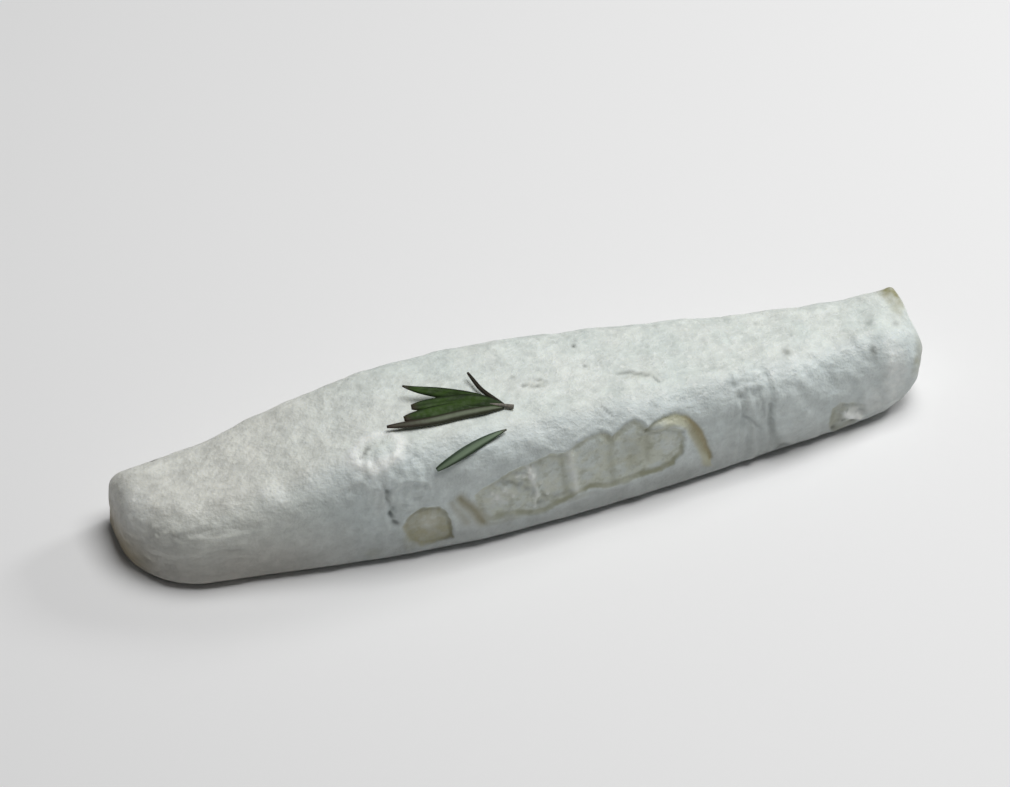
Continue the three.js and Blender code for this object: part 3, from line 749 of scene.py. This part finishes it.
def curd_material():
    """Moist white curd: fine grain, pale and dark specks, the discoloured imprint, and painted shade and
    light.
    """
    tree = Tree("curd")
    read = tree.value
    grains = tree.cloud(2.4, 2.5, 0.5, (0.75, 1.0, 1.0))
    fine = tree.cloud(0.9, 2, 0.5)
    speckled = {"Vector": tree.place(), "Scale": 1000 / 3.4, "Randomness": 1.0}
    cells = tree.add("ShaderNodeTexVoronoi", speckled)
    chosen = tree.add("ShaderNodeSeparateColor", {"Color": cells.outputs["Color"]})
    speck = tree.span(cells.outputs["Distance"], 0.16, 0.30, 1, 0)
    pale_speck = tree.times(tree.times(speck, tree.span(chosen.outputs[0], 0.52, 0.60)), read("droplets"))
    dark_speck = tree.times(speck, tree.span(chosen.outputs[1], 0.80, 0.86))
    weave = tree.times(weave_height(tree), read("weave"))
    lace = tree.maths("ABSOLUTE", tree.maths("SUBTRACT", tree.cloud(4.5, 2.5), 0.5))
    lace = tree.times(tree.span(lace, 0.0, 0.035, 1, 0), read("droplets"))

    patchy = tree.span(tree.cloud(18, 3), 0.3, 0.7)
    colour = tree.mix(patchy, CURD["grey"], CURD["white"])
    colour = tree.mix(tree.times(read("warm"), 0.8), colour, CURD["warm"])
    # Painted shade: a bluish tint on faces turned to the front
    colour = tree.mix(tree.times(read("cool_shade"), 0.7), colour, CURD["cool_shade"])
    # The grain, the fine grain and the weave are painted darker where their bumps are low, as shade in
    # their pits; the 6 mm cloud mottles the curd
    shade = tree.span(grains, 0.30, 0.68, 0.93, 1.04)
    shade = tree.times(shade, tree.span(tree.cloud(6, 3), 0.3, 0.7, 0.91, 1.05))
    shade = tree.times(shade, tree.span(fine, 0.3, 0.7, 0.98, 1.015))
    shade = tree.times(shade, tree.maths("MULTIPLY_ADD", weave, 0.012, 1.0))
    shade = tree.times(shade, tree.maths("MULTIPLY_ADD", dark_speck, -0.07, 1.0))
    colour = tree.mix(1.0, colour, shade, "MULTIPLY")
    # Painted shade: darker toward the foot
    colour = tree.mix(read("foot"), colour, tree.mix(1.0, colour, FOOT_SHADE_COLOUR, "MULTIPLY"))
    colour = tree.mix(tree.times(pale_speck, 0.35), colour, CURD["speck"])
    colour = tree.mix(tree.times(lace, 0.3), colour, CURD["speck"])

    ragged = tree.span(tree.cloud(3.0, 1), 0.25, 0.75, -0.25, 0.25)
    strip = tree.maths("ADD", read("strip_far"), ragged)
    cell = tree.maths("ADD", read("cell_far"), ragged)
    inside = tree.span(strip, -0.5, 0.5, 1, 0)
    in_cell = tree.span(cell, -0.8, 0.8, 1, 0)
    blotchy = tree.span(tree.cloud(3.2, 3), 0.32, 0.68, 0.2, 1.0)
    light = tree.times(inside, tree.span(tree.cloud(4.4, 2), 0.35, 0.65, 0.25, 0.9))
    colour = tree.mix(light, colour, CURD["imprint"])
    patches = tree.times(inside, tree.span(tree.cloud(3.2, 2), 0.48, 0.7, 0, 0.5))
    colour = tree.mix(patches, colour, CURD["imprint_patch"])
    in_cell = tree.times(in_cell, tree.maths("MULTIPLY_ADD", blotchy, 0.45, 0.4))
    colour = tree.mix(in_cell, colour, CURD["cell"])
    rim = tree.times(tree.span(strip, -2.2, -0.5), tree.span(strip, 0.0, 1.0, 1, 0))
    rim = tree.times(rim, read("strip_rim"))
    cell_rim = tree.times(tree.span(cell, -1.7, -0.2), tree.span(cell, 0.0, 0.7, 1, 0))
    cell_rim = tree.times(cell_rim, read("cell_rim"))
    uneven = tree.span(tree.cloud(7, 2), 0.3, 0.6, 0.35, 0.7)
    colour = tree.mix(tree.times(rim, uneven), colour, CURD["rim"])
    colour = tree.mix(tree.times(cell_rim, uneven), colour, CURD["cell_rim"])
    colour = tree.mix(tree.times(read("seam"), 0.45), colour, CURD["rim"])
    # The pale mask carries painted light as well as pale marks, and the dark mask painted shade as well as
    # dark marks
    for mask, strength in MARK_STRENGTHS.items():
        colour = tree.mix(tree.times(read(mask), strength), colour, CURD[mask])
    # The low part of the left end is multiplied darker and browner: brown discolouring and painted shade
    end_stain_and_shade_colour = tree.mix(1.0, colour, CURD["end_stain_and_shade"], "MULTIPLY")
    colour = tree.mix(read("end_stain_and_shade"), colour, end_stain_and_shade_colour)
    tree.put(tree.shader.inputs["Base Color"], colour)

    rough = tree.span(tree.cloud(3), 0.3, 0.7, 0.42, 0.66)
    tree.put(tree.shader.inputs["Roughness"], rough)
    height = tree.maths("ADD", tree.times(grains, 0.9), tree.times(fine, 0.3))
    height = tree.maths("ADD", height, tree.times(weave, 0.06))
    height = tree.maths("ADD", height, tree.times(pale_speck, 0.08))
    height = tree.maths("ADD", height, tree.times(lace, 0.07))
    height = tree.maths("SUBTRACT", height, tree.times(tree.maths("MAXIMUM", rim, cell_rim), 0.2))
    grain = tree.bump(height, 0.55)
    tree.put(tree.shader.inputs["Normal"], tree.bump(tree.cloud(0.35, 2), 0.03, 1.0, grain))
    for socket, value in SUBSURFACE.items():
        tree.put(tree.shader.inputs[socket], value)
    return tree.material


def cheese():
    """The cheese's skin, with every mark raised or sunk along the body's normals and coloured by masks."""
    points, quads = skin(CELLS)
    normals = outward(points)
    height, masks = cheese_relief(points, normals)
    points = points + normals * height[:, None]
    points[:, 2] = np.maximum(points[:, 2], 0)
    piece = new_mesh("cheese_skin", points, quads.tolist())
    for name, values in masks.items():
        give_values(piece, name, values)
    piece.data.materials.append(curd_material())
    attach(piece, "root")
    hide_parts("cheese")


# Rosemary: leaves along points of X, Y and the lift over the skin, with half width, roll in degrees,
# the power of the tip's taper, smaller where it is blunter, and the tone of green
CLEAR = 0.4
LEAF = dict(
    thick=0.8, thin_end=0.35, edge=0.3, groove=0.22, groove_wide=0.3, rolled=0.25, wave=0.15, wave_turns=9,
    taper_from=0.06, taper_over=0.92, foot=0.55, fullest=0.85, least_half=0.25, steps=44, across=12,
    crowded=1.3,
)
SPRIG_LEAVES = dict(
    thin=dict(
        path=[
            (-12.4, -9.4, 0.6), (-15.6, -4.4, 1.0), (-17.6, 0.2, 1.2), (-18.6, 4.2, 1.4), (-19.2, 7.2, 1.6),
        ],
        wide=0.75, roll=-8, tip=0.3, tone=0.0,
    ),
    upper=dict(
        path=[(-13.6, -9, 0.7), (-21.8, -4.4, 1.9), (-30.4, 0.5, 2.2), (-37.4, 3.5, 3), (-41.4, 5.6, 4)],
        wide=2, roll=-24, tip=0.75, tone=0.5,
    ),
    middle=dict(
        path=[(-13.8, -9.1, 0.7), (-22.8, -5.9, 1.9), (-31.8, -4, 2), (-41.2, -2.7, 2.2)],
        wide=2.5, roll=-28, tip=0.42, tone=0.55,
    ),
    low=dict(
        path=[(-14.2, -9, 0.5), (-24.8, -7, 1.2), (-34.5, -6.4, 1.3), (-44.6, -6, 1.4)],
        wide=2.5, roll=-22, tip=0.42, tone=0.45,
    ),
    long=dict(
        path=[(-12.8, -9.6, 0.3), (-25.6, -9.2, 0.7), (-38.8, -8.8, 0.7), (-50.5, -6.9, 1.1)],
        wide=1.65, roll=-16, tip=0.5, tone=0.2,
    ),
)
LOOSE_LEAF = dict(
    path=[(-39.7, -22.5, 0), (-32.3, -21.4, 0.1), (-22.5, -19.4, 0.1), (-15, -18, 0.1)],
    wide=1.65, roll=0, tip=0.75, tone=1.0,
)
STEM = dict(
    path=[(-9.8, -10.6, 0.1), (-13.5, -9.2, 0.5), (-17, -8, 0.9)],
    radius=0.75, tip=0.5, steps=14, sides=20,
)


def smooth_curve(points, t):
    """Points at t, from 0 to 1, on a smooth curve through the given ones, evenly by length."""
    points = np.asarray(points, float)
    steps = np.linalg.norm(np.diff(points, axis=0), axis=1) ** 0.5
    knots = np.concatenate([[0], np.cumsum(steps)])
    slopes = np.gradient(points, knots, axis=0, edge_order=2)
    fine = np.linspace(0, knots[-1], 400)
    i = np.clip(np.searchsorted(knots, fine, side="right") - 1, 0, len(knots) - 2)
    h = (knots[i + 1] - knots[i])[:, None]
    s = ((fine - knots[i])[:, None]) / h
    curve = (
        (2 * s**3 - 3 * s**2 + 1) * points[i] + (s**3 - 2 * s**2 + s) * h * slopes[i]
        + (3 * s**2 - 2 * s**3) * points[i + 1] + (s**3 - s**2) * h * slopes[i + 1]
    )
    far = np.concatenate([[0], np.cumsum(np.linalg.norm(np.diff(curve, axis=0), axis=1))])
    return np.stack([np.interp(t * far[-1], far, curve[:, k]) for k in range(3)], axis=1)


def route(path, steps, rest):
    """Places along a path over the skin, with the ways across and up there."""
    x, y, lift = np.array(path, float).T
    on_skin = np.stack([x, y, top_at(x, y)], axis=1)
    on_skin = on_skin + outward(on_skin) * (CLEAR + rest + lift)[:, None]
    t = np.linspace(0, 1, steps + 1)
    at = smooth_curve(on_skin, t)
    ahead = unit(np.gradient(at, axis=0))
    below = np.stack([at[:, 0], at[:, 1], top_at(at[:, 0], at[:, 1])], axis=1)
    across = unit(np.cross(outward(below), ahead))
    return t, at, across, np.cross(ahead, across)


def tube_faces(rings, sides):
    """Quads between rings of points, with one flat face at each end."""
    faces = []
    for r, s in itertools.product(range(rings - 1), range(sides)):
        a, b = r * sides + s, r * sides + (s + 1) % sides
        faces.append((a, b, b + sides, a + sides))
    faces.append(tuple(range(sides))[::-1])
    faces.append(tuple(range((rings - 1) * sides, rings * sides)))
    return faces


def leaf(name, node, path, wide, roll, tip, tone):
    """A needle leaf: rolled edges and a groove along the upper face."""
    t, at, across, up = route(path, LEAF["steps"], LEAF["thick"] / 2 + LEAF["rolled"])
    way = LEAF["taper_from"] + LEAF["taper_over"] * t ** LEAF["fullest"]
    size = np.sin(np.pi * way) ** (LEAF["foot"] + (tip - LEAF["foot"]) * t)
    c, s = math.cos(math.radians(roll)), math.sin(math.radians(roll))
    side, over = across * c + up * s, up * c - across * s
    centre = at + over * (LEAF["wave"] * np.sin(LEAF["wave_turns"] * t))[:, None]
    half = np.maximum(wide * size, LEAF["least_half"])
    middle = LEAF["thick"] * (LEAF["thin_end"] + (1 - LEAF["thin_end"]) * size) - LEAF["edge"]
    v = np.linspace(-1, 1, LEAF["across"] + 1)
    v = np.sign(v) * (1 - (1 - np.abs(v)) ** LEAF["crowded"])
    full = (LEAF["edge"] + middle[:, None] * (1 - v**2)) / 2
    drop = LEAF["rolled"] * size[:, None] * v**2
    dip = LEAF["groove"] * size[:, None] * bump(v, LEAF["groove_wide"])
    upper, lower = full - drop - dip, dip - full - drop
    flat = centre[:, None] + side[:, None] * (v * half[:, None])[..., None]
    below, above = (flat + over[:, None] * face[..., None] for face in (lower, upper))
    rings = np.concatenate([below, above[:, ::-1]], axis=1)
    sides = rings.shape[1]
    piece = new_mesh(name, rings.reshape(-1, 3), tube_faces(len(rings), sides))
    edge = np.abs(np.concatenate([v, v[::-1]]))
    under = np.concatenate([np.ones_like(v), np.zeros_like(v)])
    give_values(piece, "along", np.repeat(t, sides))
    give_values(piece, "margin", np.tile(edge, len(t)))
    give_values(piece, "under", np.tile(under, len(t)))
    give_values(piece, "tone", np.full(len(rings) * sides, tone))
    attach(piece, "root")
    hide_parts(node)
    return piece


def leaf_material():
    """Dark green above and pale under, browner where the tone is low, fresher where it is high."""
    tree = Tree("rosemary_leaf")
    tone, along, margin, under = map(tree.value, ("tone", "along", "margin", "under"))
    streaks = tree.span(tree.cloud(2, 3, 0.5, (0.15, 1, 1)), 0.3, 0.7)
    green = tree.mix(streaks, linear(26, 46, 4), linear(50, 76, 16))
    green = tree.mix(tree.span(margin, 0.55, 1.0, 0, 0.8), green, linear(8, 14, 5))
    fresh = tree.mix(tree.span(margin, 0.2, 0.8), linear(118, 136, 112), linear(52, 68, 50))
    colour = tree.mix(tree.span(tone, 0.6, 0.9), green, fresh)
    dark = tree.mix(tree.span(margin, 0.1, 0.7), linear(112, 120, 100), linear(48, 48, 36))
    colour = tree.mix(tree.span(tone, 0.35, 0.15), colour, dark)
    brown = tree.times(tree.span(along, 0.5, 0.85), tree.span(tone, 0.35, 0.15))
    colour = tree.mix(tree.times(brown, 0.8), colour, linear(58, 48, 42))
    colour = tree.mix(tree.span(tone, 0.1, 0.0), colour, linear(40, 36, 26))
    colour = tree.mix(tree.times(under, 0.6), colour, linear(150, 155, 138))
    colour = tree.mix(tree.span(along, 0.88, 1.0, 0, 0.8), colour, linear(56, 42, 36))
    tree.put(tree.shader.inputs["Base Color"], colour)
    tree.put(tree.shader.inputs["Roughness"], tree.span(tree.cloud(1.5), 0.3, 0.7, 0.5, 0.7))
    tree.shader.inputs["Specular IOR Level"].default_value = 0.2
    tree.put(tree.shader.inputs["Normal"], tree.bump(tree.cloud(0.5, 2), 0.05))
    return tree.material


def stem_material():
    """Dry grey bark."""
    tree = Tree("rosemary_stem")
    bark = tree.mix(tree.span(tree.cloud(0.8, 3), 0.35, 0.65), linear(92, 88, 80), linear(128, 122, 112))
    tree.put(tree.shader.inputs["Base Color"], bark)
    tree.shader.inputs["Roughness"].default_value = 0.7
    tree.put(tree.shader.inputs["Normal"], tree.bump(tree.cloud(0.4, 3), 0.08))
    return tree.material


def stem():
    """The woody foot of the sprig, a tapering tube."""
    t, at, across, up = route(STEM["path"], STEM["steps"], STEM["radius"])
    size = STEM["radius"] + (STEM["tip"] - STEM["radius"]) * t
    angle = np.arange(STEM["sides"]) * 2 * np.pi / STEM["sides"]
    rings = at[:, None] + size[:, None, None] * (
        across[:, None] * np.cos(angle)[:, None] + up[:, None] * np.sin(angle)[:, None])
    piece = new_mesh("rosemary_stem", rings.reshape(-1, 3), tube_faces(len(t), STEM["sides"]))
    piece.data.materials.append(stem_material())
    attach(piece, "root")
    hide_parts("rosemary_sprig")


def rosemary():
    """The five leaves of the sprig, the loose leaf and the stem."""
    finish = leaf_material()
    leaves = []
    for name, shape in SPRIG_LEAVES.items():
        leaves.append(leaf(f"rosemary_leaf_{name}", "rosemary_sprig", **shape))
    leaves.append(leaf("rosemary_loose_leaf", "rosemary_needle", **LOOSE_LEAF))
    for piece in leaves:
        piece.data.materials.append(finish)
    stem()


def view_axes():
    """The camera's ways to the right, up and back."""
    azimuth, elevation = math.radians(VIEW["azimuth"]), math.radians(VIEW["elevation"])
    level = math.cos(elevation)
    back = np.array([math.sin(azimuth) * level, -math.cos(azimuth) * level, math.sin(elevation)])
    right = np.array([math.cos(azimuth), math.sin(azimuth), 0])
    return right, np.cross(back, right), back


def camera():
    """Stands where the photograph was taken from, aimed so that the cheese falls on the same pixels."""
    right, up, back = view_axes()
    scale = PHOTO["pixels_per_mm"]
    off_right = (PHOTO["width"] / 2 - PHOTO["look_at"][0]) / scale
    off_up = (PHOTO["look_at"][1] - PHOTO["height"] / 2) / scale
    stand = LOOK_AT + back * VIEW["distance"]
    aim = LOOK_AT + right * off_right + up * off_up
    data = bpy.data.cameras.new("camera")
    data.sensor_width = SENSOR_MM
    data.lens = scale * VIEW["distance"] * SENSOR_MM / PHOTO["width"]
    data.clip_start = 0.01
    made = bpy.data.objects.new("camera", data)
    made.location = Vector((stand + SHIFT) * MM)
    made.rotation_euler = Vector(stand - aim).to_track_quat("Z", "Y").to_euler()
    bpy.context.scene.collection.objects.link(made)
    bpy.context.scene.camera = made


# The studio, in metres and watts: pale floor, a wide light above, a smaller one from the right, faint sky
FLOOR = dict(size=6, drop=0.0002, grey=0.86, rough=0.9)
LIGHTS = dict(
    key=dict(place=(0.36, 0.0, 1.35), size=0.8, watts=15.6),
    side=dict(place=(1.15, 0.31, 0.74), size=0.3, watts=4.6),
)
SKY = 0.05


def area_light(name, place, size, watts):
    """A square light that faces the middle of the part."""
    data = bpy.data.lights.new(name, "AREA")
    data.energy, data.size = watts, size
    made = bpy.data.objects.new(name, data)
    made.location = Vector(place)
    made.rotation_euler = Vector(place).to_track_quat("Z", "Y").to_euler()
    bpy.context.scene.collection.objects.link(made)


def studio():
    """The floor, both lights and the sky."""
    bpy.ops.mesh.primitive_plane_add(size=FLOOR["size"], location=(0, 0, -FLOOR["drop"]))
    floor = bpy.context.object
    floor.name = "floor"
    tree = Tree("floor")
    tree.shader.inputs["Base Color"].default_value = (*[FLOOR["grey"]] * 3, 1)
    tree.shader.inputs["Roughness"].default_value = FLOOR["rough"]
    floor.data.materials.append(tree.material)
    for name, light in LIGHTS.items():
        area_light(name, **light)
    world = bpy.data.worlds.new("studio")
    world.use_nodes = True
    world.node_tree.nodes["Background"].inputs["Color"].default_value = (1, 1, 1, 1)
    world.node_tree.nodes["Background"].inputs["Strength"].default_value = SKY
    bpy.context.scene.world = world
    bpy.context.scene.view_settings.view_transform = "Standard"


camera()
studio()
cheese()
rosemary()
